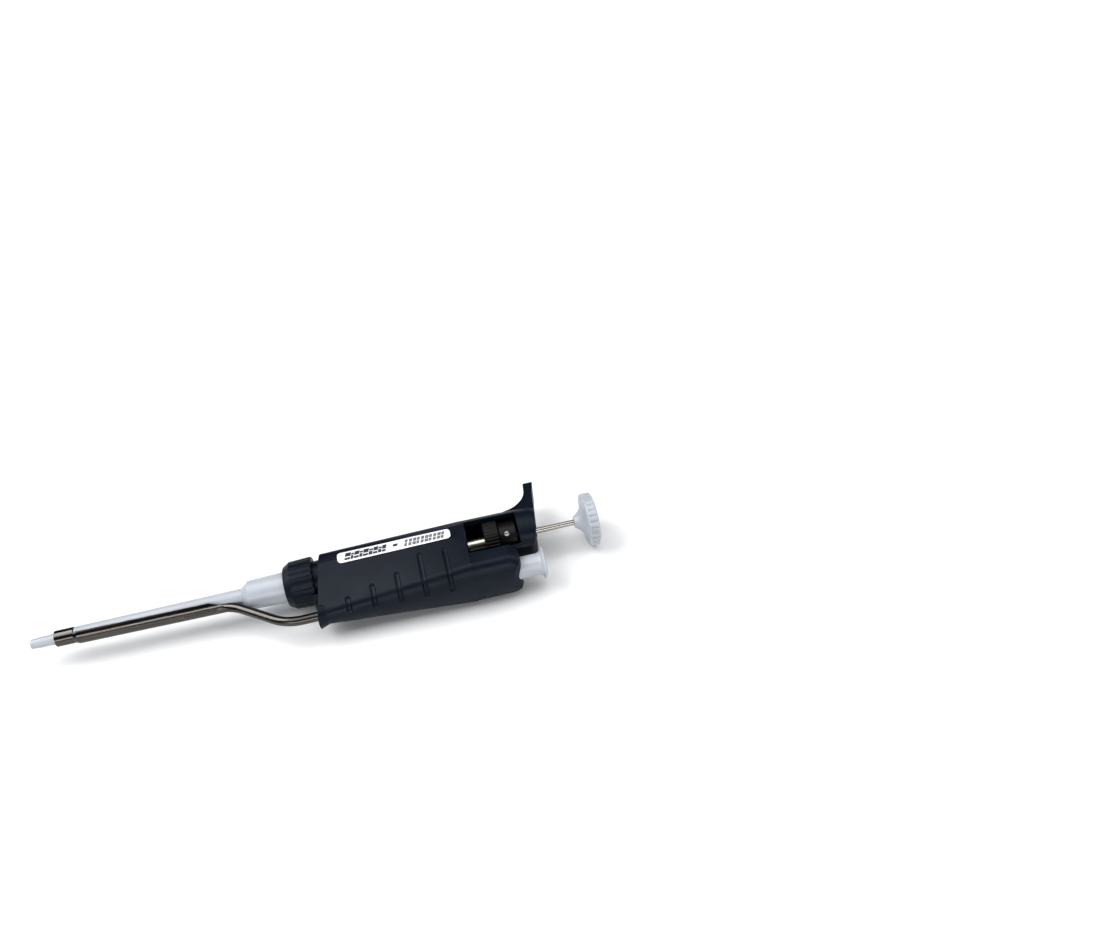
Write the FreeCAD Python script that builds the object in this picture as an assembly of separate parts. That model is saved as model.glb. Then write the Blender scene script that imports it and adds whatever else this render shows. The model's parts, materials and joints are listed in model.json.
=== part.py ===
import FreeCAD, Part
import math
import os

# Adjustable micropipette, lying on its side. Millimetres.
# While it is modelled, x runs along the piston axis from the nozzle's end to the push-button,
# y runs from the ejector side to the finger hook, and z is up. export() then moves the origin
# to the bench surface under the middle of the whole object.

V = FreeCAD.Vector
ALONG_X = V(1, 0, 0)

# Overall
TOTAL_LENGTH = 242.0
HALF_THICKNESS = 11.8
HOOK_TIP_Y = 25.5
EJECTOR_Y = -19.0
SEAT_GAP = 0.03
RUNNING_GAP = 0.05
MOVING_GAP = 0.3
OVERLAP = 1.0
EDGE = 0.5

# Blocks and cutters that only have to reach past the handle
FAR = 40.0

# Tip holder and nozzle
NOZZLE_END_R = 2.0
NOZZLE_LAND_R = 2.3
NOZZLE_LAND_X = (3.5, 7.5)
NOZZLE_ROOT_X = 10.0
NOZZLE_ROOT_R = 2.65
HOLDER_SHOULDER_X = (17.6, 18.0)
HOLDER_SHAFT_R = (3.3, 3.65)
HOLDER_STEP_X = (86.5, 89.5)
HOLDER_SLEEVE_R = (6.2, 6.8)
HOLDER_FLANGE_X = (108.5, 109.7)
HOLDER_FLANGE_R = 8.1
AIR_BORE_R = 0.8
AIR_BORE_END_X = 24.0
CHAMBER_X = 91.0
CHAMBER_R = 5.2

# Piston and its seal
PISTON_R = 1.75
PISTON_X = (45.0, 129.0)
SEAL_X = (91.0, 93.0)
O_RING_X = 94.0
O_RING_WIRE_R = 0.9
WASHER_X = (95.0, 96.0)
CUP_X = (126.0, 131.0)
CUP_R = 5.6
PISTON_SPRING_X = (96.1, 125.9)
PISTON_SPRING_R = 4.4
PISTON_SPRING_WIRE_R = 0.35
PISTON_SPRING_TURNS = 11
BLOWOUT_X = (109.8, 115.8)
BLOWOUT_R = 5.7
BLOWOUT_WIRE_R = 0.35
BLOWOUT_TURNS = 4

# Connecting nut and the threaded collar that it screws on
NUT_X = (105.0, 117.5)
NUT_R = (10.2, 10.5)
NUT_LIP_R = 6.95
NUT_NOSE_R = 8.65
NUT_CHAMFER_X = 108.0
NUT_FLUTES = 24
NUT_FLUTE_R = 0.8
NUT_FLUTE_LIFT = 0.3
COLLAR_X = (109.7, 130.0)
COLLAR_THREAD_R = 8.3
COLLAR_THREAD_END_X = 122.5
COLLAR_SEAT_R = 7.6
COLLAR_BORE_R = 6.2

# Handle
HANDLE_FRONT_X = 117.6
HANDLE_FRONT_LEAN = 0.145
LIP_X = (116.0, 122.0)
LIP_R = (6.7, 4.6)
GRIP_X = (120.0, 183.0)
GRIP_STATIONS = (112.0, 128.0, 144.0, 164.0, GRIP_X[1])
GRIP_HALF_Y = (9.0, 10.8)
GRIP_HALF_Z = 12.0
OVAL_STEPS = 10
NOSE_CENTRE_Y = (EJECTOR_Y, -20.0)
NOSE_HALF_Y = (4.8, 6.0)
NOSE_HALF_Z = (4.8, 11.5)
NOSE_OUTER_Y = NOSE_CENTRE_Y[1] - NOSE_HALF_Y[1]
LOBE_INNER_Y = -16.2
LOBE_END_X = 203.6
LOBE_STEP = 0.35
LOBE_CORNER_R = 6.5
LOBE_END_R = 5.0
LOBE_END_STEPS = 6
WINDOW_END_X = 206.0
COLUMN_END_X = 215.5
COLUMN_EJECTOR_END_X = 213.4
COLUMN_CORNER_R = 4.5
HOOK_ROOT_Y = 4.0
HOOK_MIDDLE_Y = 12.0
HOOK_HALF_Z = (8.4, 8.0, 6.2)
HOOK_CORNER_R = 2.6
HOOK_INNER_ROOT = (202.0, 7.9)
HOOK_INNER_MIDDLE = (209.7, 11.6)
HOOK_INNER_TIP = (213.3, 20.0)
HOOK_OUTER_MIDDLE = (216.6, 16.5)
HOOK_OUTER_ROOT = (215.6, 9.0)
HOOK_TIP_X = (213.9, 218.2)
HOOK_TIP_ROUND = 1.2
GUARD_X = (116.2, 123.0)
GUARD_Y = (-14.6, -11.1)
GUARD_HALF_Z = 3.6
GUARD_ROUND = 0.8
MAIN_CAVITY_X = (130.0, 180.0)
MAIN_CAVITY_R = 7.2
WHEEL_CHAMBER_R = 9.45
WINDOW_START_X = 183.6
WINDOW_Y = (-9.6, 3.6)
WINDOW_FLOOR_Z = 3.4
WEB_Y = (-14.0, -6.0)
WEB_HALF_Z = 5.0
GROOVE_COUNT = 5
GROOVE_FIRST_X = 130.6
GROOVE_PITCH = 10.7
GROOVE_START_Y = (-19.5, -17.2, -15.0, -8.8, -9.2)
GROOVE_END_Z = 3.4
GROOVE_R = 1.3
GROOVE_LIFT = 0.5
GROOVE_STEPS = 5
LABEL_X = (129.0, 177.3)
LABEL_Y = (-3.8, 1.6)
LABEL_CORNER_R = 1.6
LABEL_THICKNESS = 0.35
LENS_X = (160.0, 179.0)
LENS_Y = (-4.0, 3.0)
LENS_Z = (-11.2, -10.0)
LENS_LEDGE = 1.5
LENS_GAP = 0.1

# Volume setting
WHEEL_X = (191.2, 197.5)
WHEEL_R = 9.15
WHEEL_TEETH = 40
WHEEL_VALLEY_R = 0.45
WHEEL_VALLEY_LIFT = 0.1
SLEEVE_END_X = 205.5
SLEEVE_HUB_R = 5.0
SLEEVE_HEAD_R = 7.5
SET_SCREW_X = 201.0
SET_SCREW_R = 1.1
SET_SCREW_FOOT_R = 3.4
SET_SCREW_LENGTH = 3.9
SET_SCREW_SLOT = (0.44, 0.6)
SET_SCREW_TILT_DEG = 30.0
SCREW_X = (139.0, 196.0)
SCREW_R = 2.25
SCREW_BORE_R = 1.35
SCREW_BUSH_R = 4.2
STOP_NUT_X = (136.0, 144.0)
STOP_NUT_R = 6.5
KEY_WIDTH = 2.0
KEY_TOP_R = 7.9
KEY_CLEARANCE = 0.2
KEYWAY_X = (131.0, 150.0)
DRUM_FIRST_X = 160.3
DRUM_WIDTH = 5.6
DRUM_GAP = 0.4
DRUM_R = 6.8

# Plunger
ROD_R = 1.25
ROD_X = (129.3, 238.0)
STOP_COLLAR_X = (133.0, 136.0)
STOP_COLLAR_R = 4.5
TOP_BUSH_X = (206.6, 213.6)
TOP_BUSH_R = 3.6
BUTTON_NECK_X = 231.6
BUTTON_NECK_R = 2.6
BUTTON_RIM_X = (236.3, 240.7)
BUTTON_RIM_R = 11.65
BUTTON_WAIST = (234.9, 5.6)
RIM_EDGE = 0.3
CROWN_RISE = 0.4
BUTTON_FLUTES = 28
BUTTON_FLUTE_R = 0.75
BUTTON_FLUTE_LIFT = 0.3
CAP_R = 9.4
CAP_FLOOR_X = 240.2
CAP_EDGE_X = 241.25

# Tip ejector
RING_X = (10.0, 17.5)
RING_R = (2.95, 3.45)
RING_FLARE_END_X = 19.0
CHANNEL_END_X = 80.0
CHANNEL_FRONT_R = 4.05
CHANNEL_REAR_R = 4.3
CHANNEL_DRIFT_Y = -0.8
CHANNEL_WALL = 0.45
CHANNEL_LIP = ((17.5, -1.5), (73.0, -2.7), (82.0, -5.4))
ARM_R = 2.0
ARM_CLEARANCE = 0.25
ARM_START = (62.0, -2.95)
ARM_BEND_FRONT = (81.5, -3.35)
ARM_REAR_Y = EJECTOR_Y - 1.0
ARM_BEND_REAR = (104.2, ARM_REAR_Y)
ARM_BEND_R = 20.0
ARM_END_X = 121.0
COUPLER_X = (119.0, 125.0)
COUPLER_Y = (EJECTOR_Y + ARM_REAR_Y) / 2
COUPLER_R = 3.1
EJECTOR_ROD_R = 1.6
EJECTOR_ROD_END_X = 206.0
GUIDE_BUSH_X = (150.0, 157.0)
GUIDE_BUSH_R = 3.2
EJECTOR_SPRING_X = (157.1, 195.9)
EJECTOR_SPRING_R = 3.2
EJECTOR_SPRING_WIRE_R = 0.35
EJECTOR_SPRING_TURNS = 14
EJECTOR_CHAMBER_R = 4.2
EJECTOR_BUTTON_X = (196.0, 214.0)
EJECTOR_BUTTON_R = 4.75
EJECTOR_FLANGE_R = 6.75
EJECTOR_FLARE_X = 211.0
EJECTOR_FLARE_MIDDLE = (212.1, 5.35)
EJECTOR_HOLLOW_R = 4.55
EJECTOR_FLANGE_X = 212.7
EJECTOR_BUTTON_BORE_R = 5.0
EJECTOR_STROKE = 7.0


# ---- general shapes -------------------------------------------------------------------------


def between(pair, fraction):
    """The value that lies this fraction of the way along a pair."""
    return pair[0] + (pair[1] - pair[0]) * fraction


def disc(x_range, radius, y=0.0):
    """A round bar along x."""
    return Part.makeCylinder(radius, x_range[1] - x_range[0], V(x_range[0], y, 0), ALONG_X)


def tube(x_range, outer_r, inner_r, y=0.0):
    """A round bar along x with a bore right through it."""
    return disc(x_range, outer_r, y).cut(disc((x_range[0] - OVERLAP, x_range[1] + OVERLAP), inner_r, y))


def frustum(x_range, radii, y=0.0):
    """A cone along x, cut off at both ends."""
    return Part.makeCone(radii[0], radii[1], x_range[1] - x_range[0], V(x_range[0], y, 0), ALONG_X)


def block(x_range, y_range, z_range):
    """A box given by its three ranges."""
    size = [high - low for low, high in (x_range, y_range, z_range)]
    return Part.makeBox(*size, V(x_range[0], y_range[0], z_range[0]))


def lathe(edges, y=0.0):
    """Turns a closed outline, drawn in the half plane above the axis, about the line through y."""
    face = Part.Face(Part.Wire(Part.__sortEdges__(edges)))
    return face.revolve(V(0, y, 0), ALONG_X, 360)


def outline(corners):
    """Straight edges through (x, y) corners, open."""
    points = [V(x, y, 0) for x, y in corners]
    return [Part.makeLine(a, b) for a, b in zip(points, points[1:])]


def arc(start, middle, end):
    """A circular edge through three (x, y) points."""
    return Part.Arc(V(*start, 0), V(*middle, 0), V(*end, 0)).toShape()


def turned(corners, y=0.0):
    """A lathe part with straight edges only, from (x, radius) corners."""
    closed = [(x, y + radius) for x, radius in corners + corners[:1]]
    return lathe(outline(closed), y)


def around(shape, count, y=0.0):
    """Copies of a shape, evenly spaced about the line through y."""
    copies = []
    for index in range(count):
        copy = shape.copy()
        copy.rotate(V(0, y, 0), ALONG_X, 360.0 * index / count)
        copies.append(copy)
    return copies


def both_faces(shape):
    """A shape and its mirror image in the plane of symmetry."""
    return [shape, shape.mirror(V(0, 0, 0), V(0, 0, 1))]


def rounded_slab(x_range, y_range, z_range, corner_r):
    """A flat plate with rounded corners, standing along z."""
    slab = block(x_range, y_range, z_range)
    upright = [edge for edge in slab.Edges if abs(edge.tangentAt(edge.FirstParameter).z) > 0.9]
    return slab.makeFillet(corner_r, upright)


def coil(x_range, coil_r, wire_r, turns, y=0.0):
    """A compression spring along x."""
    length = x_range[1] - x_range[0] - 2 * wire_r
    path = Part.makeHelix(length / turns, length, coil_r)
    circle = Part.makeCircle(wire_r, V(coil_r, 0, 0), V(0, 1, 0))
    wire = Part.Wire(path).makePipeShell([Part.Wire(circle)], True, True)
    wire.rotate(V(0, 0, 0), V(0, 1, 0), 90)
    wire.translate(V(x_range[0] + wire_r, y, 0))
    return wire


# ---- tip holder, piston and seals -------------------------------------------------------------


def holder_skin(clearance=0.0):
    """The tip holder's outside, swollen by a clearance. It is solid."""
    end_r, land_r, root_r = (r + clearance for r in (NOZZLE_END_R, NOZZLE_LAND_R, NOZZLE_ROOT_R))
    corners = [
        (0.0, 0.0),
        (0.0, end_r),
        (NOZZLE_LAND_X[0], land_r),
        (NOZZLE_LAND_X[1], land_r),
        (NOZZLE_ROOT_X, root_r),
        (HOLDER_SHOULDER_X[0], root_r),
        (HOLDER_SHOULDER_X[1], HOLDER_SHAFT_R[0] + clearance),
        (HOLDER_STEP_X[0], HOLDER_SHAFT_R[1] + clearance),
        (HOLDER_STEP_X[1], HOLDER_SLEEVE_R[0] + clearance),
        (HOLDER_FLANGE_X[0], HOLDER_SLEEVE_R[1] + clearance),
        (HOLDER_FLANGE_X[0], HOLDER_FLANGE_R + clearance),
        (HOLDER_FLANGE_X[1], HOLDER_FLANGE_R + clearance),
        (HOLDER_FLANGE_X[1], 0.0),
    ]
    return turned(corners)


def tip_holder():
    bores = [
        disc((-OVERLAP, AIR_BORE_END_X + OVERLAP), AIR_BORE_R),
        disc((AIR_BORE_END_X, CHAMBER_X + OVERLAP), PISTON_R + MOVING_GAP),
        disc((CHAMBER_X, HOLDER_FLANGE_X[1] + OVERLAP), CHAMBER_R),
    ]
    return holder_skin().cut(bores)


def piston():
    body = disc(PISTON_X, PISTON_R)
    return body.makeChamfer(EDGE, [body.Edges[-1]])


def piston_seal():
    return tube(SEAL_X, CHAMBER_R - SEAT_GAP, PISTON_R + RUNNING_GAP)


def o_ring():
    centre_r = PISTON_R + RUNNING_GAP + O_RING_WIRE_R
    return Part.makeTorus(centre_r, O_RING_WIRE_R, V(O_RING_X, 0, 0), ALONG_X)


def seal_washer():
    return tube(WASHER_X, CHAMBER_R - SEAT_GAP, PISTON_R + MOVING_GAP)


def piston_cup():
    blank = disc(CUP_X, CUP_R).cut(disc((CUP_X[0] - OVERLAP, PISTON_X[1]), PISTON_R))
    socket = disc((PISTON_X[1] + SEAT_GAP, CUP_X[1] + OVERLAP), ROD_R + RUNNING_GAP)
    return blank.cut(socket)


def piston_spring():
    return coil(PISTON_SPRING_X, PISTON_SPRING_R, PISTON_SPRING_WIRE_R, PISTON_SPRING_TURNS)


def blowout_spring():
    """The stiff second-stop spring. It stands on the tip holder's flange."""
    return coil(BLOWOUT_X, BLOWOUT_R, BLOWOUT_WIRE_R, BLOWOUT_TURNS)


# ---- connecting nut and collar ----------------------------------------------------------------


def threaded_collar():
    corners = [
        (COLLAR_X[0], COLLAR_BORE_R),
        (COLLAR_X[0], COLLAR_THREAD_R),
        (COLLAR_THREAD_END_X, COLLAR_THREAD_R),
        (COLLAR_THREAD_END_X, COLLAR_SEAT_R),
        (COLLAR_X[1], COLLAR_SEAT_R),
        (COLLAR_X[1], COLLAR_BORE_R),
    ]
    return turned(corners)


def connecting_nut():
    bore_r = COLLAR_THREAD_R + RUNNING_GAP
    corners = [
        (NUT_X[0], NUT_LIP_R),
        (NUT_X[0], NUT_NOSE_R - EDGE),
        (NUT_X[0] + EDGE, NUT_NOSE_R),
        (NUT_CHAMFER_X, NUT_R[0]),
        (NUT_X[1] - EDGE, NUT_R[1]),
        (NUT_X[1], NUT_R[1] - EDGE),
        (NUT_X[1], bore_r),
        (HOLDER_FLANGE_X[0], bore_r),
        (HOLDER_FLANGE_X[0], NUT_LIP_R),
    ]
    start = V(NUT_CHAMFER_X, 0, NUT_R[1] + NUT_FLUTE_LIFT)
    flute = Part.makeCylinder(NUT_FLUTE_R, NUT_X[1], start, ALONG_X)
    return turned(corners).cut(around(flute, NUT_FLUTES))


# ---- handle -----------------------------------------------------------------------------------


def oval_point(x, centre_y, half_y, half_z, normal_angle):
    """The point of an upright oval whose outward normal has this angle from +y."""
    reach = math.hypot(half_y * math.cos(normal_angle), half_z * math.sin(normal_angle))
    y = centre_y + half_y**2 * math.cos(normal_angle) / reach
    z = half_z**2 * math.sin(normal_angle) / reach
    return V(x, y, z)


def oval_edge(x, centre_y, half_y, half_z, angles):
    """A stretch of an upright oval between two normal angles."""
    shares = [step / OVAL_STEPS for step in range(OVAL_STEPS + 1)]
    points = [oval_point(x, centre_y, half_y, half_z, between(angles, share)) for share in shares]
    tangents = [V(0, -math.sin(angle), math.cos(angle)) for angle in angles]
    curve = Part.BSplineCurve()
    curve.interpolate(points, InitialTangent=tangents[0], FinalTangent=tangents[1])
    return curve.toShape()


def common_normal(main, nose):
    """The normal angle of the straight flank that touches both ovals."""

    def nose_stands_out(angle):
        cosine, sine = math.cos(angle), math.sin(angle)
        reach = [y * cosine + math.hypot(a * cosine, b * sine) for y, a, b in (main, nose)]
        return reach[1] > reach[0]

    low, high = math.pi / 2, math.pi
    for _ in range(50):
        middle = (low + high) / 2
        if nose_stands_out(middle):
            high = middle
        else:
            low = middle
    return high


def grip_ovals(x):
    """The (centre_y, half_y, half_z) of the main oval and of the ejector-side oval at a station."""
    fraction = (x - GRIP_X[0]) / (GRIP_X[1] - GRIP_X[0])
    main = (0.0, between(GRIP_HALF_Y, fraction), GRIP_HALF_Z)
    nose = tuple(between(pair, fraction) for pair in (NOSE_CENTRE_Y, NOSE_HALF_Y, NOSE_HALF_Z))
    return main, nose


def two_oval_section(x, main, nose, angle):
    """Two ovals with a straight flank on each face, whose normal has this angle."""
    hook_side = oval_edge(x, *main, (-angle, angle))
    ejector_side = oval_edge(x, *nose, (angle, 2 * math.pi - angle))
    top_flank = Part.makeLine(oval_point(x, *main, angle), oval_point(x, *nose, angle))
    bottom_flank = Part.makeLine(oval_point(x, *nose, -angle), oval_point(x, *main, -angle))
    return Part.Wire([hook_side, top_flank, ejector_side, bottom_flank])


def grip_section(x):
    main, nose = grip_ovals(x)
    return two_oval_section(x, main, nose, common_normal(main, nose))


def oval_bar(ovals, centre_y, half_y):
    """An upright oval bar along x, through (x, half_z) ovals of one width."""
    sections = []
    for x, half_z in ovals:
        halves = [oval_edge(x, centre_y, half_y, half_z, (a, a + math.pi)) for a in (0, math.pi)]
        sections.append(Part.Wire(halves))
    return Part.makeLoft(sections, True, True)


def front_waste():
    """What lies in front of the handle's leaning front face."""
    near_y, far_y = (-FAR, FAR)
    clear_x = HANDLE_FRONT_X - FAR
    nose_edge_y = EJECTOR_Y - NOSE_HALF_Y[0]
    near_x, far_x = (HANDLE_FRONT_X + (y - nose_edge_y) * HANDLE_FRONT_LEAN for y in (near_y, far_y))
    corners = [(clear_x, near_y), (near_x, near_y), (far_x, far_y), (clear_x, far_y)]
    return plan_block(outline(corners + corners[:1]))


def grip():
    body = Part.makeLoft([grip_section(x) for x in GRIP_STATIONS], True, False)
    lip = frustum(LIP_X, LIP_R, EJECTOR_Y)
    outer_half = block(LIP_X, (EJECTOR_Y - FAR, EJECTOR_Y), (-FAR, FAR))
    return body.fuse(lip.common(outer_half)).cut(front_waste())


def plan_block(edges):
    """A tall block with this closed outline in plan."""
    face = Part.Face(Part.Wire(Part.__sortEdges__(edges)))
    face.translate(V(0, 0, -FAR))
    return face.extrude(V(0, 0, 2 * FAR))


def column():
    """The round upper body around the thumbwheel. Its leaning end carries the finger hook."""
    crown = (
        (GRIP_X[1] - OVERLAP, GRIP_HALF_Z),
        (WINDOW_END_X, GRIP_HALF_Z - 0.4),
        (COLUMN_END_X - 2.5, GRIP_HALF_Z - 1.1),
        (COLUMN_END_X - 0.8, GRIP_HALF_Z - 1.8),
        (COLUMN_END_X + EDGE, GRIP_HALF_Z - 3.2),
    )
    bar = oval_bar(crown, 0.0, GRIP_HALF_Y[1])
    outer_y = GRIP_HALF_Y[1] + OVERLAP
    corner_x = COLUMN_EJECTOR_END_X - COLUMN_CORNER_R
    corner_y = COLUMN_CORNER_R - GRIP_HALF_Y[1]
    diagonal = COLUMN_CORNER_R * math.sqrt(0.5)
    corner_end = (COLUMN_EJECTOR_END_X, corner_y)
    edges = [arc((corner_x, -GRIP_HALF_Y[1]), (corner_x + diagonal, corner_y - diagonal), corner_end)]
    back_x = GRIP_X[1] - 5 * OVERLAP
    edges += outline([
        corner_end,
        (COLUMN_END_X + EDGE, outer_y),
        (back_x, outer_y),
        (back_x, -GRIP_HALF_Y[1]),
        (corner_x, -GRIP_HALF_Y[1]),
    ])
    return bar.common(plan_block(edges))


def lobe():
    """The ejector button's housing, one step lower than the grip on each face, with a rounded corner."""
    full_z = NOSE_HALF_Z[1] - LOBE_STEP
    inset_y = LOBE_STEP / 2
    outer_y = NOSE_OUTER_Y + inset_y
    stations = [(GRIP_X[1] - OVERLAP, full_z)]
    for step in range(LOBE_END_STEPS + 1):
        angle = math.pi / 2 * step / LOBE_END_STEPS
        x = LOBE_END_X - LOBE_END_R * (1 - math.sin(angle))
        stations.append((x, full_z - LOBE_END_R * (1 - math.cos(angle))))
    sections = []
    for x, half_z in stations:
        inner = (LOBE_INNER_Y, NOSE_HALF_Y[1], half_z)
        outer = (NOSE_CENTRE_Y[1] + inset_y, NOSE_HALF_Y[1], half_z)
        sections.append(two_oval_section(x, inner, outer, math.pi / 2))
    bar = Part.makeLoft(sections, True, True)
    corner_x = LOBE_END_X - LOBE_CORNER_R
    corner_y = outer_y + LOBE_CORNER_R
    diagonal = LOBE_CORNER_R * math.sqrt(0.5)
    corner_start, corner_end = (corner_x, outer_y), (LOBE_END_X, corner_y)
    edges = [arc(corner_start, (corner_x + diagonal, corner_y - diagonal), corner_end)]
    back_x = GRIP_X[1] - 5 * OVERLAP
    edges += outline([corner_end, (LOBE_END_X, 0), (back_x, 0), (back_x, outer_y), corner_start])
    return bar.common(plan_block(edges))


def hook_side_view():
    """The hook's outline in plan: a concave inner edge, a rounded tip and a leaning outer edge."""
    tip_left, tip_right = HOOK_TIP_X
    below_tip_y = HOOK_TIP_Y - HOOK_TIP_ROUND
    tip_start, tip_end = tip_left + HOOK_TIP_ROUND, tip_right - HOOK_TIP_ROUND
    bulge = HOOK_TIP_ROUND * (1 - math.sqrt(0.5))
    left_middle = (tip_left + bulge, HOOK_TIP_Y - bulge)
    right_middle = (tip_right - bulge, HOOK_TIP_Y - bulge)
    edges = [arc(HOOK_INNER_ROOT, HOOK_INNER_MIDDLE, HOOK_INNER_TIP)]
    edges += outline([HOOK_INNER_TIP, (tip_left, below_tip_y)])
    edges += [arc((tip_left, below_tip_y), left_middle, (tip_start, HOOK_TIP_Y))]
    edges += outline([(tip_start, HOOK_TIP_Y), (tip_end, HOOK_TIP_Y)])
    edges += [arc((tip_end, HOOK_TIP_Y), right_middle, (tip_right, below_tip_y))]
    edges += [arc((tip_right, below_tip_y), HOOK_OUTER_MIDDLE, HOOK_OUTER_ROOT)]
    foot = [(HOOK_OUTER_ROOT[0] - EDGE, HOOK_ROOT_Y), (HOOK_INNER_ROOT[0], HOOK_ROOT_Y)]
    return edges + outline([HOOK_OUTER_ROOT] + foot + [HOOK_INNER_ROOT])


def hook_end_view():
    """The hook's outline seen along the axis: it narrows upwards and its corners are round."""
    root_half, middle_half, tip_half = HOOK_HALF_Z
    start_x = HOOK_INNER_ROOT[0] - OVERLAP
    shoulder_y = HOOK_TIP_Y - HOOK_CORNER_R
    cap_y = HOOK_TIP_Y + MOVING_GAP
    flank = [(HOOK_ROOT_Y, root_half), (HOOK_MIDDLE_Y, middle_half), (shoulder_y, tip_half)]
    right = [V(start_x, y, z) for y, z in flank]
    left = [V(start_x, y, -z) for y, z in flank]
    cap_right = V(start_x, cap_y, tip_half - HOOK_CORNER_R)
    cap_left = V(start_x, cap_y, HOOK_CORNER_R - tip_half)
    bulge = HOOK_CORNER_R * (1 - math.sqrt(0.5))
    edges = [Part.makeLine(a, b) for a, b in zip(right, right[1:])]
    edges += [Part.makeLine(a, b) for a, b in zip(left, left[1:])]
    for side, cap, sign in ((right[-1], cap_right, 1), (left[-1], cap_left, -1)):
        middle = V(start_x, cap_y - bulge, sign * (tip_half - bulge))
        edges.append(Part.Arc(side, middle, cap).toShape())
    edges += [Part.makeLine(cap_left, cap_right), Part.makeLine(left[0], right[0])]
    return Part.Face(Part.Wire(Part.__sortEdges__(edges)))


def finger_hook():
    """The hook that rests on the index finger: a curved web that ends in a flat, rounded tab."""
    return plan_block(hook_side_view()).common(hook_end_view().extrude(V(FAR, 0, 0)))


def nut_guard():
    """The small block that stands beside the connecting nut."""
    guard = block(GUARD_X, GUARD_Y, (-GUARD_HALF_Z, GUARD_HALF_Z))
    front_edges = [edge for edge in guard.Edges if edge.BoundBox.XMax < GUARD_X[0] + EDGE]
    return guard.makeFillet(GUARD_ROUND, front_edges)


def groove(x, start_y):
    """A round-bottomed cutter that follows the surface from the upper face onto the ejector side."""
    main, nose = grip_ovals(x)
    nose_y, half_y, half_z = nose
    angle = common_normal(main, nose)
    lift = V(0, math.cos(angle), math.sin(angle)) * GROOVE_LIFT
    flank_from = oval_point(x, *main, angle)
    flank_to = oval_point(x, *nose, angle)
    fraction = (start_y - flank_from.y) / (flank_to.y - flank_from.y)
    start = flank_from + (flank_to - flank_from) * fraction + lift
    first = math.atan2(half_z * math.sin(angle), half_y * math.cos(angle))
    last = math.pi - math.asin(GROOVE_END_Z / half_z)
    bend = []
    for step in range(GROOVE_STEPS + 1):
        turn = between((first, last), step / GROOVE_STEPS)
        outward = V(0, half_z * math.cos(turn), half_y * math.sin(turn)).normalize()
        surface = V(x, nose_y + half_y * math.cos(turn), half_z * math.sin(turn))
        bend.append(surface + outward * GROOVE_LIFT)
    curve = Part.BSplineCurve()
    curve.interpolate(bend)
    path = Part.Wire([Part.makeLine(start, bend[0]), curve.toShape()])
    circle = Part.makeCircle(GROOVE_R, start, bend[0] - start)
    channel = path.makePipeShell([Part.Wire(circle)], True, True)
    return [channel, Part.makeSphere(GROOVE_R, start), Part.makeSphere(GROOVE_R, bend[-1])]


def grip_grooves():
    grooves = []
    for index in range(GROOVE_COUNT):
        grooves += groove(GROOVE_FIRST_X + GROOVE_PITCH * index, GROOVE_START_Y[index])
    return grooves


def handle_skin():
    """The handle's outside, before anything is cut into it."""
    web = block((GRIP_X[1] - OVERLAP, LOBE_END_X), WEB_Y, (-WEB_HALF_Z, WEB_HALF_Z))
    body = grip().fuse([column(), lobe(), web, finger_hook(), nut_guard()])
    slab = block((HANDLE_FRONT_X - FAR, TOTAL_LENGTH), (-FAR, FAR), (-HALF_THICKNESS, HALF_THICKNESS))
    return body.common(slab)


def label_area():
    return rounded_slab(LABEL_X, LABEL_Y, (GRIP_HALF_Z / 2, FAR), LABEL_CORNER_R)


def label_plate(skin):
    """A thin plate let into the upper face, flush with it."""
    sunk = skin.copy()
    sunk.translate(V(0, 0, -LABEL_THICKNESS))
    return skin.common(label_area()).cut(sunk)


def handle_cavities():
    """Everything that is hollow inside the handle."""
    front_x = HANDLE_FRONT_X - FAR
    along_piston = [
        disc((front_x, COLLAR_THREAD_END_X), COLLAR_THREAD_R + SEAT_GAP),
        disc((front_x, COLLAR_X[1]), COLLAR_SEAT_R + SEAT_GAP),
        disc(MAIN_CAVITY_X, MAIN_CAVITY_R),
        disc((MAIN_CAVITY_X[1] - OVERLAP, WINDOW_START_X + OVERLAP), SCREW_BUSH_R + SEAT_GAP),
        disc((WINDOW_START_X, WINDOW_END_X), WHEEL_CHAMBER_R),
        disc((WINDOW_END_X - OVERLAP, TOTAL_LENGTH), TOP_BUSH_R + SEAT_GAP),
    ]
    stroke_end_x = EJECTOR_BUTTON_X[0] - EJECTOR_STROKE - OVERLAP
    along_ejector = [
        disc((front_x, COUPLER_X[1] + 2 * OVERLAP), COUPLER_R + MOVING_GAP, COUPLER_Y),
        disc((COUPLER_X[1] + OVERLAP, GUIDE_BUSH_X[0] + OVERLAP), EJECTOR_ROD_R + EDGE, EJECTOR_Y),
        disc(GUIDE_BUSH_X, GUIDE_BUSH_R + SEAT_GAP, EJECTOR_Y),
        disc((GUIDE_BUSH_X[1], EJECTOR_BUTTON_X[0]), EJECTOR_CHAMBER_R, EJECTOR_Y),
        disc((stroke_end_x, TOTAL_LENGTH), EJECTOR_BUTTON_BORE_R, EJECTOR_Y),
    ]
    window = block((WINDOW_START_X, WINDOW_END_X), WINDOW_Y, (WINDOW_FLOOR_Z, FAR))
    half_key = KEY_WIDTH / 2 + KEY_CLEARANCE
    keyway = block(KEYWAY_X, (STOP_NUT_R - OVERLAP / 2, KEY_TOP_R + KEY_CLEARANCE), (-half_key, half_key))
    lens_seat = block(LENS_X, LENS_Y, (-FAR, LENS_Z[1]))
    display_x = (LENS_X[0] + LENS_LEDGE, LENS_X[1] - LENS_LEDGE)
    display_y = (LENS_Y[0] + LENS_LEDGE, LENS_Y[1] - LENS_LEDGE)
    display = block(display_x, display_y, (-FAR, LENS_Z[1] / 2))
    return along_piston + along_ejector + both_faces(window) + [keyway, lens_seat, display]


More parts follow.
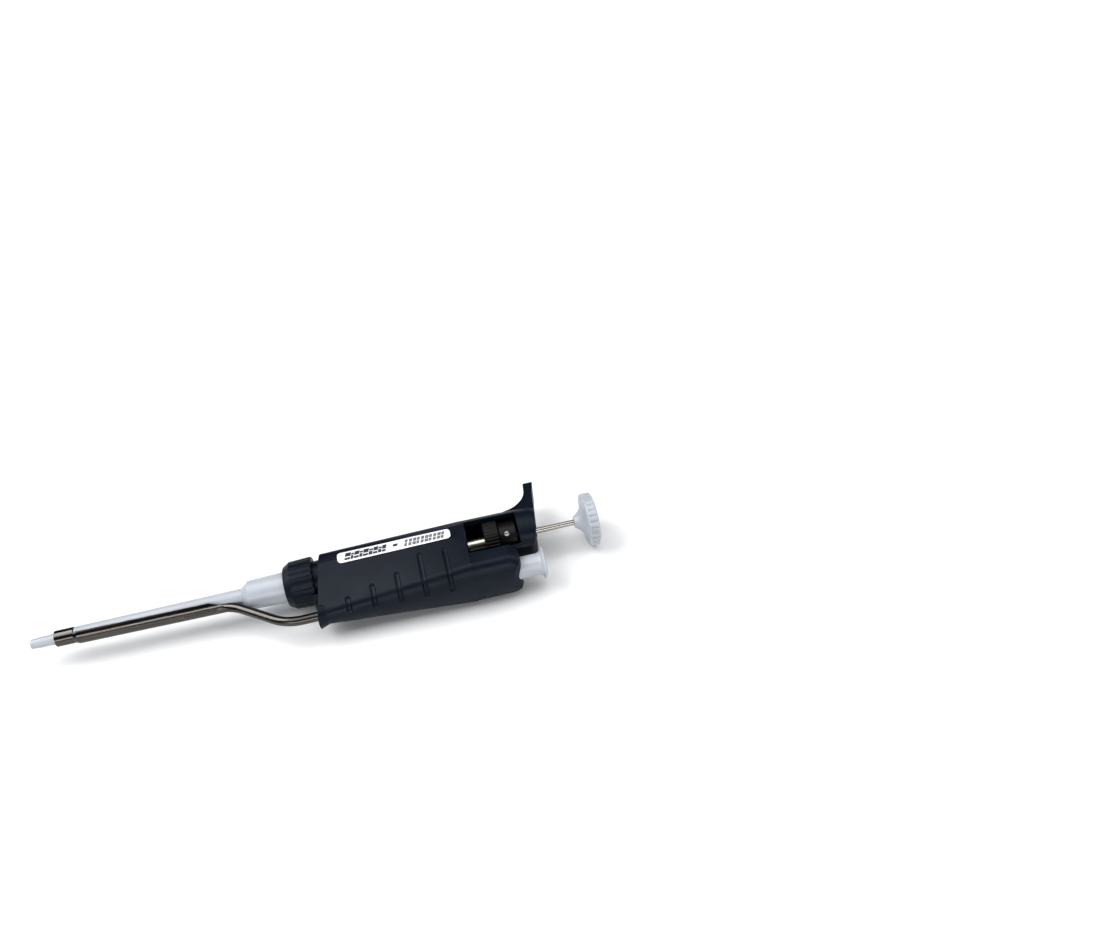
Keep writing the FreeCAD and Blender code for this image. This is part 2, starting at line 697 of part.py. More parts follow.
def handle(skin, label):
    return skin.cut(grip_grooves()).cut(handle_cavities()).cut(label)


def display_lens():
    x_range = (LENS_X[0] + LENS_GAP, LENS_X[1] - LENS_GAP)
    y_range = (LENS_Y[0] + LENS_GAP, LENS_Y[1] - LENS_GAP)
    return rounded_slab(x_range, y_range, LENS_Z, EDGE)


# ---- volume setting -----------------------------------------------------------------------------


def thumbwheel():
    corners = [
        (WHEEL_X[0], SLEEVE_HUB_R),
        (WHEEL_X[0], WHEEL_R - EDGE),
        (WHEEL_X[0] + EDGE, WHEEL_R),
        (WHEEL_X[1] - EDGE, WHEEL_R),
        (WHEEL_X[1], WHEEL_R - EDGE),
        (WHEEL_X[1], SLEEVE_HUB_R),
    ]
    start = V(WHEEL_X[0] - OVERLAP, 0, WHEEL_R + WHEEL_VALLEY_LIFT)
    valley = Part.makeCylinder(WHEEL_VALLEY_R, WHEEL_X[1] - WHEEL_X[0] + 2 * OVERLAP, start, ALONG_X)
    return turned(corners).cut(around(valley, WHEEL_TEETH))


def tilted(shape):
    """Turns a radial feature from straight up to the set screw's direction."""
    shape.rotate(V(0, 0, 0), ALONG_X, SET_SCREW_TILT_DEG)
    return shape


def drive_sleeve():
    corners = [
        (WHEEL_X[0], SCREW_R),
        (WHEEL_X[0], SLEEVE_HUB_R),
        (WHEEL_X[1], SLEEVE_HUB_R),
        (WHEEL_X[1], SLEEVE_HEAD_R - EDGE),
        (WHEEL_X[1] + EDGE, SLEEVE_HEAD_R),
        (SLEEVE_END_X - EDGE, SLEEVE_HEAD_R),
        (SLEEVE_END_X, SLEEVE_HEAD_R - EDGE),
        (SLEEVE_END_X, SCREW_BORE_R),
        (SCREW_X[1], SCREW_BORE_R),
        (SCREW_X[1], SCREW_R),
    ]
    hole = tilted(Part.makeCylinder(SET_SCREW_R, FAR, V(SET_SCREW_X, 0, SET_SCREW_FOOT_R - EDGE)))
    return turned(corners).cut(hole)


def set_screw():
    body = Part.makeCylinder(SET_SCREW_R, SET_SCREW_LENGTH, V(SET_SCREW_X, 0, SET_SCREW_FOOT_R))
    along = (SET_SCREW_X - SET_SCREW_R - OVERLAP, SET_SCREW_X + SET_SCREW_R + OVERLAP)
    slot_floor = SET_SCREW_FOOT_R + SET_SCREW_LENGTH - SET_SCREW_SLOT[1]
    slot = block(along, (-SET_SCREW_SLOT[0] / 2, SET_SCREW_SLOT[0] / 2), (slot_floor, FAR))
    return tilted(body.cut(slot))


def micrometer_screw():
    return tube(SCREW_X, SCREW_R, SCREW_BORE_R)


def screw_bush():
    return tube((MAIN_CAVITY_X[1], WINDOW_START_X), SCREW_BUSH_R, SCREW_R + RUNNING_GAP)


def stop_nut():
    key = block(STOP_NUT_X, (STOP_NUT_R - OVERLAP, KEY_TOP_R), (-KEY_WIDTH / 2, KEY_WIDTH / 2))
    bore = disc((STOP_NUT_X[0] - OVERLAP, STOP_NUT_X[1] + OVERLAP), SCREW_R + RUNNING_GAP)
    return disc(STOP_NUT_X, STOP_NUT_R).fuse(key).cut(bore)


def number_drum(position, bore_r):
    """One number drum, counted from the nozzle end."""
    start = DRUM_FIRST_X + position * (DRUM_WIDTH + DRUM_GAP)
    return tube((start, start + DRUM_WIDTH), DRUM_R, bore_r)


# ---- plunger ------------------------------------------------------------------------------------


def operating_rod():
    return disc(ROD_X, ROD_R)


def stop_collar():
    return tube(STOP_COLLAR_X, STOP_COLLAR_R, ROD_R)


def top_bush():
    return tube(TOP_BUSH_X, TOP_BUSH_R, ROD_R + RUNNING_GAP)


def push_button():
    """A flared mushroom head with a fluted rim."""
    neck = (BUTTON_NECK_X, BUTTON_NECK_R)
    rim_front = (BUTTON_RIM_X[0], BUTTON_RIM_R - RIM_EDGE)
    crown_start = (BUTTON_RIM_X[1] - RIM_EDGE, BUTTON_RIM_R)
    crown_middle = (BUTTON_RIM_X[1], BUTTON_RIM_R - 2 * RIM_EDGE)
    crown_end = (BUTTON_RIM_X[1] + CROWN_RISE, BUTTON_RIM_R - 4 * RIM_EDGE)
    edges = outline([(ROD_X[1], 0.0), (ROD_X[1], ROD_R), (BUTTON_NECK_X, ROD_R), neck])
    edges += [arc(neck, BUTTON_WAIST, rim_front)]
    edges += outline([rim_front, (BUTTON_RIM_X[0] + RIM_EDGE, BUTTON_RIM_R), crown_start])
    edges += [arc(crown_start, crown_middle, crown_end)]
    edges += outline([crown_end, (CAP_EDGE_X, CAP_R), (CAP_FLOOR_X, CAP_R), (CAP_FLOOR_X, 0.0)])
    edges += outline([(CAP_FLOOR_X, 0.0), (ROD_X[1], 0.0)])
    start = V(BUTTON_RIM_X[0] + 3 * RIM_EDGE, 0, BUTTON_RIM_R + BUTTON_FLUTE_LIFT)
    flute = Part.makeCylinder(BUTTON_FLUTE_R, FAR, start, ALONG_X)
    return lathe(edges).cut(around(flute, BUTTON_FLUTES))


def push_button_cap():
    """The slightly domed disc set into the push-button's end."""
    edge_r = CAP_R - SEAT_GAP
    edge_x = CAP_EDGE_X - SEAT_GAP
    rise = TOTAL_LENGTH - edge_x
    dome_r = (edge_r**2 + rise**2) / (2 * rise)
    middle_angle = math.asin(edge_r / dome_r) / 2
    middle_x = TOTAL_LENGTH - dome_r * (1 - math.cos(middle_angle))
    edges = outline([(CAP_FLOOR_X, 0.0), (CAP_FLOOR_X, edge_r), (edge_x, edge_r)])
    edges += [arc((edge_x, edge_r), (middle_x, dome_r * math.sin(middle_angle)), (TOTAL_LENGTH, 0.0))]
    edges += outline([(TOTAL_LENGTH, 0.0), (CAP_FLOOR_X, 0.0)])
    return lathe(edges)


# ---- tip ejector --------------------------------------------------------------------------------


def tangent_arc(corner, before, after, radius):
    """An arc that rounds a corner between two directions, with its two ends."""
    bend = before.getAngle(after)
    reach = radius * math.tan(bend / 2)
    sag = radius * (1 / math.cos(bend / 2) - 1)
    start, end = corner - before * reach, corner + after * reach
    middle = corner + (after - before).normalize() * sag
    return start, Part.Arc(start, middle, end).toShape(), end


def arm_rod():
    """The bent wire part of the ejector arm, from the channel to the coupler."""
    start, end = V(*ARM_START, 0), V(ARM_END_X, ARM_REAR_Y, 0)
    front, rear = V(*ARM_BEND_FRONT, 0), V(*ARM_BEND_REAR, 0)
    lead, slant = (front - start).normalize(), (rear - front).normalize()
    into_front, front_arc, out_of_front = tangent_arc(front, lead, slant, ARM_BEND_R)
    into_rear, rear_arc, out_of_rear = tangent_arc(rear, slant, ALONG_X, ARM_BEND_R)
    edges = [
        Part.makeLine(start, into_front),
        front_arc,
        Part.makeLine(out_of_front, into_rear),
        rear_arc,
        Part.makeLine(out_of_rear, end),
    ]
    circle = Part.Wire(Part.makeCircle(ARM_R, start, lead))
    return Part.Wire(edges).makePipeShell([circle], True, True)


def arm_channel():
    """The half-round sheet channel that lies along the holder."""

    def shell(wall):
        front = Part.Wire(Part.makeCircle(CHANNEL_FRONT_R - wall, V(RING_FLARE_END_X, 0, 0), ALONG_X))
        rear_centre = V(CHANNEL_END_X, CHANNEL_DRIFT_Y, 0)
        rear = Part.Wire(Part.makeCircle(CHANNEL_REAR_R - wall, rear_centre, ALONG_X))
        return Part.makeLoft([front, rear], True, True)

    return shell(0.0).cut(shell(CHANNEL_WALL))


def channel_mouth():
    """What is cut away on the hook side, where the channel is open."""
    corners = list(CHANNEL_LIP) + [(CHANNEL_LIP[-1][0], FAR), (CHANNEL_LIP[0][0], FAR)]
    return plan_block(outline(corners + corners[:1]))


def ejector_arm():
    """Ring, channel and bent arm in one piece."""
    ring = tube(RING_X, RING_R[1], RING_R[0])
    flare_x = (RING_X[1], RING_FLARE_END_X)
    flare = frustum(flare_x, (RING_R[1], CHANNEL_FRONT_R))
    flare_bore = frustum(flare_x, (RING_R[0], CHANNEL_FRONT_R - CHANNEL_WALL))
    sheet = flare.cut(flare_bore).fuse(arm_channel()).cut(channel_mouth())
    return ring.fuse([sheet, arm_rod()]).cut(holder_skin(ARM_CLEARANCE))


def ejector_coupler():
    """The joining piece between the arm and the rod, whose axes lie a little apart."""
    blank = disc(COUPLER_X, COUPLER_R, COUPLER_Y)
    arm_socket = disc((COUPLER_X[0] - OVERLAP, ARM_END_X), ARM_R, ARM_REAR_Y)
    rod_socket = disc((ARM_END_X, COUPLER_X[1] + OVERLAP), EJECTOR_ROD_R, EJECTOR_Y)
    return blank.cut([arm_socket, rod_socket])


def ejector_rod():
    return disc((ARM_END_X, EJECTOR_ROD_END_X), EJECTOR_ROD_R, EJECTOR_Y)


def ejector_guide_bush():
    return tube(GUIDE_BUSH_X, GUIDE_BUSH_R, EJECTOR_ROD_R + RUNNING_GAP, EJECTOR_Y)


def ejector_spring():
    return coil(EJECTOR_SPRING_X, EJECTOR_SPRING_R, EJECTOR_SPRING_WIRE_R, EJECTOR_SPRING_TURNS, EJECTOR_Y)


def ejector_button():
    """A round stem with a flared thumb flange, hollowed a little on its end."""

    def place(x, radius):
        return (x, EJECTOR_Y + radius)

    start_x, end_x = EJECTOR_BUTTON_X
    floor_x = end_x - EDGE
    flare_start = place(EJECTOR_FLARE_X, EJECTOR_BUTTON_R)
    flange_front = place(EJECTOR_FLANGE_X, EJECTOR_FLANGE_R - RIM_EDGE)
    edges = outline([
        place(EJECTOR_ROD_END_X, 0.0),
        place(EJECTOR_ROD_END_X, EJECTOR_ROD_R),
        place(start_x, EJECTOR_ROD_R),
        place(start_x, EJECTOR_BUTTON_R),
        flare_start,
    ])
    edges += [arc(flare_start, place(*EJECTOR_FLARE_MIDDLE), flange_front)]
    edges += outline([
        flange_front,
        place(EJECTOR_FLANGE_X + RIM_EDGE, EJECTOR_FLANGE_R),
        place(floor_x, EJECTOR_FLANGE_R),
        place(end_x, EJECTOR_FLANGE_R - EDGE),
        place(end_x, EJECTOR_HOLLOW_R + EDGE),
        place(floor_x, EJECTOR_HOLLOW_R),
        place(floor_x, 0.0),
        place(EJECTOR_ROD_END_X, 0.0),
    ])
    return lathe(edges, EJECTOR_Y)


# ---- export -------------------------------------------------------------------------------------


def export(node, shape):
    """Moves a sub-part to the object's own frame and writes it."""
    middle_y = (HOOK_TIP_Y + NOSE_OUTER_Y) / 2
    placed = shape.copy()
    placed.translate(V(-TOTAL_LENGTH / 2, -middle_y, HALF_THICKNESS))
    if not placed.isValid():
        print("not valid:", node)
    placed = Part.makeCompound(placed.Solids) if len(placed.Solids) > 1 else placed.Solids[0]
    placed.exportStep("parts/" + node + ".step")


def main():
    os.makedirs("parts", exist_ok=True)
    skin = handle_skin()
    label = label_plate(skin)
    running_bore_r = SCREW_R + RUNNING_GAP
    nodes = {
        "tip_holder": tip_holder(),
        "piston": piston(),
        "piston_seal": piston_seal(),
        "o_ring": o_ring(),
        "seal_washer": seal_washer(),
        "piston_cup": piston_cup(),
        "piston_spring": piston_spring(),
        "blowout_spring": blowout_spring(),
        "threaded_collar": threaded_collar(),
        "connecting_nut": connecting_nut(),
        "handle": handle(skin, label),
        "label_plate": label,
        "display_lens": display_lens(),
        "thumbwheel": thumbwheel(),
        "drive_sleeve": drive_sleeve(),
        "set_screw": set_screw(),
        "micrometer_screw": micrometer_screw(),
        "screw_bush": screw_bush(),
        "stop_nut": stop_nut(),
        "hundreds_drum": number_drum(0, running_bore_r),
        "tens_drum": number_drum(1, running_bore_r),
        "units_drum": number_drum(2, SCREW_R),
        "operating_rod": operating_rod(),
        "stop_collar": stop_collar(),
        "top_bush": top_bush(),
        "push_button": push_button(),
        "push_button_cap": push_button_cap(),
        "ejector_arm": ejector_arm(),
        "ejector_coupler": ejector_coupler(),
        "ejector_rod": ejector_rod(),
        "ejector_guide_bush": ejector_guide_bush(),
        "ejector_spring": ejector_spring(),
        "ejector_button": ejector_button(),
    }
    for node, shape in nodes.items():
        export(node, shape)


main()
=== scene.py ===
import json
import math

import bmesh
import bpy
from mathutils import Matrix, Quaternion, Vector
from mathutils.bvhtree import BVHTree


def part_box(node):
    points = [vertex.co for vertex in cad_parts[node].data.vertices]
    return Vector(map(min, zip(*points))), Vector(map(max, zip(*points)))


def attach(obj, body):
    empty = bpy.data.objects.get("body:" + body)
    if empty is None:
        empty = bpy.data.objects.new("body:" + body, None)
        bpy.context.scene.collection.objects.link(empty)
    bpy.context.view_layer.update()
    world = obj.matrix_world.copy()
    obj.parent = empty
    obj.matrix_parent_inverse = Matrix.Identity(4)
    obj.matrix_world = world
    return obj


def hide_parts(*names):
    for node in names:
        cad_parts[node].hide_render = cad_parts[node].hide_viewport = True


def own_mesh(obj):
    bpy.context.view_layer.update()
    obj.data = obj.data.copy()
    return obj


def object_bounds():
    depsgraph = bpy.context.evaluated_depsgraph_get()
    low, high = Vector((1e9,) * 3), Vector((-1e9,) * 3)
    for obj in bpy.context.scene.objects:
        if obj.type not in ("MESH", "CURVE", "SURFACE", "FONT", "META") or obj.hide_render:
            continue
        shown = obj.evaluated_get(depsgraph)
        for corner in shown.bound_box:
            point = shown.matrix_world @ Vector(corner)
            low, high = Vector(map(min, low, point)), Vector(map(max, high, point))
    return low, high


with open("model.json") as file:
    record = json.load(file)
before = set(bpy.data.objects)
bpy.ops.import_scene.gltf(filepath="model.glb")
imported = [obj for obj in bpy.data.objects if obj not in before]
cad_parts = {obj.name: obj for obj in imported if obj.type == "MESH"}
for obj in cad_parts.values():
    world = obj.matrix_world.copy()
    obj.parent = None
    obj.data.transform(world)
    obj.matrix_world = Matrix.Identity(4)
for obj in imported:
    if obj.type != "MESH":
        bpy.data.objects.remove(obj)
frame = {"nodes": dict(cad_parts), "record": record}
cad_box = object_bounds()

# The adjustable micropipette's looks: materials, springs, counter digits and label print,
# with the camera, lights and floor. Metres, in the CAD frame.

MM = 0.001
BODY = "body"

# Camera, aimed at a point given from the piston axis
CAMERA_TARGET_X = 0.1134
CAMERA_TARGET_FROM_AXIS_Y = 0.0381
CAMERA_DISTANCE = 0.4747
CAMERA_AZIMUTH = math.radians(-9.98)
CAMERA_ELEVATION = math.radians(43.55)
CAMERA_ROLL = math.radians(-5.36)
LENS_MM = 32.52
SENSOR_MM = 36.0

# Springs: (node, mean coil radius, wire radius, turns, joint that presses it, travel)
SPRINGS = (
    ("piston_spring", 4.4 * MM, 0.35 * MM, 11, "plunger_press", 12.5 * MM),
    ("blowout_spring", 5.7 * MM, 0.35 * MM, 4, "plunger_press", 2.3 * MM),
    ("ejector_spring", 3.2 * MM, 0.35 * MM, 14, "ejector_press", 7.0 * MM),
)
WIRE_SIDES = 12
STEPS_PER_TURN = 40
CLOSED_TURNS = 0.75

# Counter drums: (node, body, the digit that faces the display window)
DRUMS = (("hundreds_drum", "hundreds", 0), ("tens_drum", "tens", 5), ("units_drum", "dial", 0))
DIGITS = 10
DIGIT_HEIGHT = 4.0 * MM
DIGIT_WIDTH = 1.3 * DIGIT_HEIGHT
DIGIT_LIFT = 0.02 * MM

# Label print: starts, widths and gaps along the label, and rows as shares of its width
PRINT_LIFT = 0.03 * MM
PRINT_SLANT = 0.25
BAR_STEPS = 4
BOLD_START = 2.6 * MM
BOLD_WIDTHS = [width * MM for width in (2.4, 1.2, 2.1, 1.3, 2.2, 1.7, 1.9, 1.4, 1.7)]
BOLD_GAP = 0.2 * MM
TALL_ROWS = ((0.15, 0.8),)
SHORT_ROWS = ((0.15, 0.46), (0.52, 0.7))
DASH = (23.0 * MM, 2.0 * MM)
DASH_ROWS = ((0.38, 0.64),)
FINE_COUNT = 10
FINE_START = 28.0 * MM
FINE_PITCH = 1.75 * MM
FINE_WIDTHS = (1.2 * MM, 1.35 * MM, 1.5 * MM)
FINE_ROWS = ((0.16, 0.46), (0.52, 0.84))

# Studio: (name, place from the object's middle, width and height, watts)
LIGHTS = (
    ("left", (-1.2, 0.35, 1.3), (1.5, 1.5), 30.0),
    ("right", (1.3, 0.1, 1.1), (1.4, 1.4), 12.0),
    ("overhead", (0.0, 0.2, 1.7), (1.7, 1.7), 16.0),
    ("front", (-0.1, -1.1, 0.42), (1.6, 0.3), 7.0),
)
HORIZON = (0.22, 0.225, 0.235)
SKY = (0.05, 0.05, 0.053)
HORIZON_TOP = 0.3
FLOOR_HALF_SIDE = 4.0
FLOOR_TONES = ((0.80, 0.805, 0.81), (0.79, 0.795, 0.80))


# ---- node helpers -------------------------------------------------------------------------------


def add(tree, kind, inputs=None, **settings):
    """A shader node. An input that is a socket gets linked, and any other is set."""
    node = tree.nodes.new(kind)
    for name, value in settings.items():
        setattr(node, name, value)
    for socket, value in (inputs or {}).items():
        if isinstance(value, bpy.types.NodeSocket):
            tree.links.new(value, node.inputs[socket])
        else:
            node.inputs[socket].default_value = value
    return node


def new_material(name, colour, roughness, **sockets):
    """A material with one Principled shader, and its tree."""
    material = bpy.data.materials.new(name)
    material.use_nodes = True
    tree = material.node_tree
    shader = tree.nodes["Principled BSDF"]
    shader.inputs["Base Color"].default_value = (*colour, 1.0)
    shader.inputs["Roughness"].default_value = roughness
    for socket, value in sockets.items():
        shader.inputs[socket.replace("_", " ")].default_value = value
    return material, tree, shader


def place(tree, stretch=(1.0, 1.0, 1.0)):
    """The piece's own coordinates in metres, stretched along an axis by a divisor."""
    source = add(tree, "ShaderNodeTexCoord")
    scale = [1.0 / amount for amount in stretch]
    return add(tree, "ShaderNodeMapping", {"Vector": source.outputs["Object"], "Scale": scale}).outputs[0]


def noise(tree, where, size, detail=2.0, roughness=0.5):
    """Cloudy variation from 0 to 1 whose lumps are about this size, in metres."""
    inputs = {"Vector": where, "Scale": 1.0 / size, "Detail": detail, "Roughness": roughness}
    return add(tree, "ShaderNodeTexNoise", inputs).outputs[0]


def remap(tree, value, source, target):
    """Maps a range of a value to another range, and clamps it."""
    inputs = {"Value": value, 1: source[0], 2: source[1], 3: target[0], 4: target[1]}
    return add(tree, "ShaderNodeMapRange", inputs).outputs[0]


def spread(tree, value, low=0.0, high=1.0):
    """Stretches the middle range of a noise over a range of its own."""
    return remap(tree, value, (0.3, 0.7), (low, high))


def calculate(tree, operation, a, b):
    """The result of a sum, a product or another operation on two values."""
    return add(tree, "ShaderNodeMath", {0: a, 1: b}, operation=operation).outputs[0]


def mix(tree, factor, a, b):
    """A blend of two colours, each a socket or three numbers."""
    inputs = {0: factor}
    for index, colour in ((6, a), (7, b)):
        inputs[index] = colour if isinstance(colour, bpy.types.NodeSocket) else (*colour, 1.0)
    return add(tree, "ShaderNodeMix", inputs, data_type="RGBA").outputs[2]


def rounded_normal(tree, radius):
    """The surface's normal with its sharp edges rounded over."""
    return add(tree, "ShaderNodeBevel", {"Radius": radius}, samples=4).outputs[0]


def edge_mask(tree, radius, breakup):
    """One along sharp edges and corners, broken up by a noise, and zero elsewhere."""
    rounded = rounded_normal(tree, radius)
    sharp = add(tree, "ShaderNodeNewGeometry").outputs["Normal"]
    inputs = {0: rounded, 1: sharp}
    agreement = add(tree, "ShaderNodeVectorMath", inputs, operation="DOT_PRODUCT").outputs["Value"]
    edge = remap(tree, agreement, (0.93, 0.995), (1.0, 0.0))
    return calculate(tree, "MULTIPLY", edge, remap(tree, breakup, (0.35, 0.6), (0.0, 1.0)))


def bump(tree, height, depth, normal=None):
    """A normal that is disturbed by a height from 0 to 1 of this depth, in metres."""
    inputs = {"Height": height, "Distance": depth, "Strength": 1.0}
    if normal is not None:
        inputs["Normal"] = normal
    return add(tree, "ShaderNodeBump", inputs).outputs[0]


def connect(tree, shader, **sources):
    """Links sockets to the shader's inputs, whose names have underscores for spaces here."""
    for socket, source in sources.items():
        tree.links.new(source, shader.inputs[socket.replace("_", " ")])


# ---- materials ------------------------------------------------------------------------------------


def dark_plastic():
    """Navy-black moulded plastic: spark-eroded grain, handled edges and faint mottling."""
    base, worn = (0.0022, 0.0052, 0.0115), (0.018, 0.028, 0.044)
    material, tree, shader = new_material("dark_plastic", base, 0.42, Specular_IOR_Level=0.2)
    where = place(tree)
    mottle = noise(tree, where, 9 * MM, 3.0)
    grain = noise(tree, where, 0.28 * MM, 3.0, 0.6)
    smudge = noise(tree, where, 4 * MM, 4.0, 0.65)
    edge = edge_mask(tree, 0.5 * MM, smudge)
    body = mix(tree, spread(tree, mottle), base, (0.0040, 0.0082, 0.0170))
    colour = mix(tree, calculate(tree, "MULTIPLY", edge, 0.6), body, worn)
    gloss = spread(tree, smudge, 0.34, 0.48)
    normal = bump(tree, grain, 0.012 * MM, rounded_normal(tree, 0.3 * MM))
    connect(tree, shader, Base_Color=colour, Roughness=gloss, Normal=normal)
    return material


def wheel_plastic():
    """Black plastic of uneven tone, with its knurl's crests rubbed grey."""
    base, worn = (0.0042, 0.0042, 0.0046), (0.030, 0.028, 0.027)
    material, tree, shader = new_material("wheel_plastic", base, 0.38, Specular_IOR_Level=0.25)
    where = place(tree)
    smudge = noise(tree, where, 2.5 * MM, 4.0, 0.65)
    grain = noise(tree, where, 0.15 * MM, 2.0)
    edge = edge_mask(tree, 0.25 * MM, smudge)
    colour = mix(tree, edge, mix(tree, smudge, base, (0.0095, 0.0088, 0.0086)), worn)
    gloss = spread(tree, smudge, 0.3, 0.48)
    normal = bump(tree, grain, 0.006 * MM, rounded_normal(tree, 0.15 * MM))
    connect(tree, shader, Base_Color=colour, Roughness=gloss, Normal=normal)
    return material


def pale_plastic():
    """Blue-white moulded plastic with flow marks, fine scuffs and edges rubbed paler."""
    base, cool = (0.42, 0.445, 0.485), (0.355, 0.38, 0.42)
    material, tree, shader = new_material(
        "pale_plastic", base, 0.36, Subsurface_Weight=0.12, Subsurface_Scale=0.6 * MM
    )
    shader.inputs["Subsurface Radius"].default_value = (1.0, 0.9, 0.8)
    where = place(tree)
    flow = noise(tree, place(tree, (6.0, 1.0, 1.0)), 5 * MM, 3.0)
    grain = noise(tree, where, 0.35 * MM, 3.0)
    scuff = noise(tree, place(tree, (1.0, 9.0, 9.0)), 0.5 * MM, 4.0, 0.7)
    smudge = noise(tree, where, 5 * MM, 4.0, 0.6)
    edge = edge_mask(tree, 0.4 * MM, smudge)
    body = mix(tree, spread(tree, flow), base, cool)
    colour = mix(tree, calculate(tree, "MULTIPLY", edge, 0.35), body, (0.70, 0.71, 0.75))
    gloss = remap(tree, scuff, (0.35, 0.75), (0.3, 0.38))
    normal = bump(tree, grain, 0.004 * MM, rounded_normal(tree, 0.2 * MM))
    connect(tree, shader, Base_Color=colour, Roughness=gloss, Normal=normal)
    return material


def drawn_metal(name, colour, dull, roughness, streak_size, depth):
    """Bright metal with fine drawing lines along the piece and handling marks."""
    material, tree, shader = new_material(name, colour, roughness, Metallic=1.0)
    where = place(tree)
    streaks = noise(tree, place(tree, (60.0, 1.0, 1.0)), streak_size, 3.0, 0.6)
    smudge = noise(tree, where, 6 * MM, 4.0, 0.6)
    edge = edge_mask(tree, 0.2 * MM, smudge)
    body = mix(tree, spread(tree, streaks), dull, colour)
    polished = mix(tree, calculate(tree, "MULTIPLY", edge, 0.5), body, (0.9, 0.9, 0.88))
    wear = calculate(tree, "MULTIPLY", calculate(tree, "ADD", streaks, smudge), 0.5)
    gloss = spread(tree, wear, roughness * 0.75, roughness * 1.35)
    normal = bump(tree, streaks, depth, rounded_normal(tree, 0.15 * MM))
    connect(tree, shader, Base_Color=polished, Roughness=gloss, Normal=normal)
    return material


def stainless():
    """The polished operating rod and other bright steel."""
    return drawn_metal("stainless", (0.40, 0.385, 0.36), (0.33, 0.315, 0.29), 0.24, 0.4 * MM, 0.0006 * MM)


def bronzed_steel():
    """The ejector arm and coupler's steel, darker and browner than the polished rods: its colour is painted
    dark to stand in for the dark reflections of polished steel.
    """
    # Painted shade: these steel colours are darkened to stand in for dark reflections on the metal.
    colour, dull = (0.105, 0.100, 0.094), (0.065, 0.061, 0.056)
    return drawn_metal("bronzed_steel", colour, dull, 0.2, 0.4 * MM, 0.0006 * MM)


def nickel():
    """Nickel plating, which is paler and warmer than the steel."""
    return drawn_metal("nickel", (0.93, 0.90, 0.82), (0.84, 0.81, 0.73), 0.4, 0.1 * MM, 0.001 * MM)


def spring_steel():
    return drawn_metal("spring_steel", (0.52, 0.51, 0.49), (0.40, 0.39, 0.37), 0.28, 0.08 * MM, 0.001 * MM)


def brass():
    """Turned brass with rings from the tool and a little tarnish."""
    bright, tarnished = (0.74, 0.56, 0.25), (0.42, 0.29, 0.11)
    material, tree, shader = new_material("brass", bright, 0.25, Metallic=1.0)
    rings = noise(tree, place(tree, (1.0, 80.0, 80.0)), 0.15 * MM, 2.0)
    patches = noise(tree, place(tree), 3 * MM, 4.0, 0.65)
    colour = mix(tree, remap(tree, patches, (0.45, 0.7), (0.0, 0.7)), bright, tarnished)
    gloss = spread(tree, patches, 0.2, 0.42)
    normal = bump(tree, rings, 0.003 * MM, rounded_normal(tree, 0.15 * MM))
    connect(tree, shader, Base_Color=colour, Roughness=gloss, Normal=normal)
    return material


def plain_polymer(name, colour, shade, roughness, grain_size, depth):
    """A moulded or turned polymer with fine grain and uneven gloss."""
    material, tree, shader = new_material(name, colour, roughness, Subsurface_Weight=0.1)
    shader.inputs["Subsurface Scale"].default_value = 0.5 * MM
    where = place(tree)
    cloud = noise(tree, where, 3 * MM, 3.0)
    grain = noise(tree, where, grain_size, 3.0)
    tone = mix(tree, spread(tree, cloud), colour, shade)
    gloss = spread(tree, cloud, roughness * 0.8, roughness * 1.25)
    normal = bump(tree, grain, depth, rounded_normal(tree, 0.15 * MM))
    connect(tree, shader, Base_Color=tone, Roughness=gloss, Normal=normal)
    return material


def bush_plastic():
    return plain_polymer("bush_plastic", (0.76, 0.74, 0.66), (0.68, 0.66, 0.57), 0.4, 0.2 * MM, 0.003 * MM)


def drum_plastic():
    return plain_polymer("drum_plastic", (0.80, 0.80, 0.77), (0.74, 0.74, 0.70), 0.35, 0.2 * MM, 0.003 * MM)


def seal_plastic():
    return plain_polymer("seal_plastic", (0.82, 0.81, 0.78), (0.76, 0.75, 0.71), 0.3, 0.3 * MM, 0.002 * MM)


def rubber():
    return plain_polymer("rubber", (0.022, 0.022, 0.023), (0.035, 0.035, 0.036), 0.6, 0.12 * MM, 0.006 * MM)


def clear_lens():
    """A clear moulded window with hairline scratches."""
    tint = (0.93, 0.97, 0.98)
    material, tree, shader = new_material("clear_lens", tint, 0.05, IOR=1.49)
    shader.inputs["Transmission Weight"].default_value = 1.0
    scratches = noise(tree, place(tree, (1.0, 40.0, 1.0)), 0.12 * MM, 2.0)
    haze = noise(tree, place(tree), 4 * MM, 3.0)
    colour = mix(tree, spread(tree, haze), tint, (0.88, 0.93, 0.95))
    gloss = remap(tree, scratches, (0.55, 0.75), (0.03, 0.16))
    normal = bump(tree, scratches, 0.0006 * MM, rounded_normal(tree, 0.15 * MM))
    connect(tree, shader, Base_Color=colour, Roughness=gloss, Normal=normal)
    return material


def label():
    """White coated label: a satin film, slightly dirty towards its edge."""
    clean, soiled = (0.78, 0.79, 0.82), (0.60, 0.61, 0.64)
    material, tree, shader = new_material("label", clean, 0.3, Coat_Weight=0.3, Coat_Roughness=0.15)
    where = place(tree)
    dirt = noise(tree, where, 2.2 * MM, 4.0, 0.7)
    film = noise(tree, where, 0.4 * MM, 2.0)
    colour = mix(tree, remap(tree, dirt, (0.52, 0.75), (0.0, 0.6)), clean, soiled)
    gloss = spread(tree, dirt, 0.24, 0.42)
    normal = bump(tree, film, 0.002 * MM, rounded_normal(tree, 0.15 * MM))
    connect(tree, shader, Base_Color=colour, Roughness=gloss, Normal=normal)
    return material


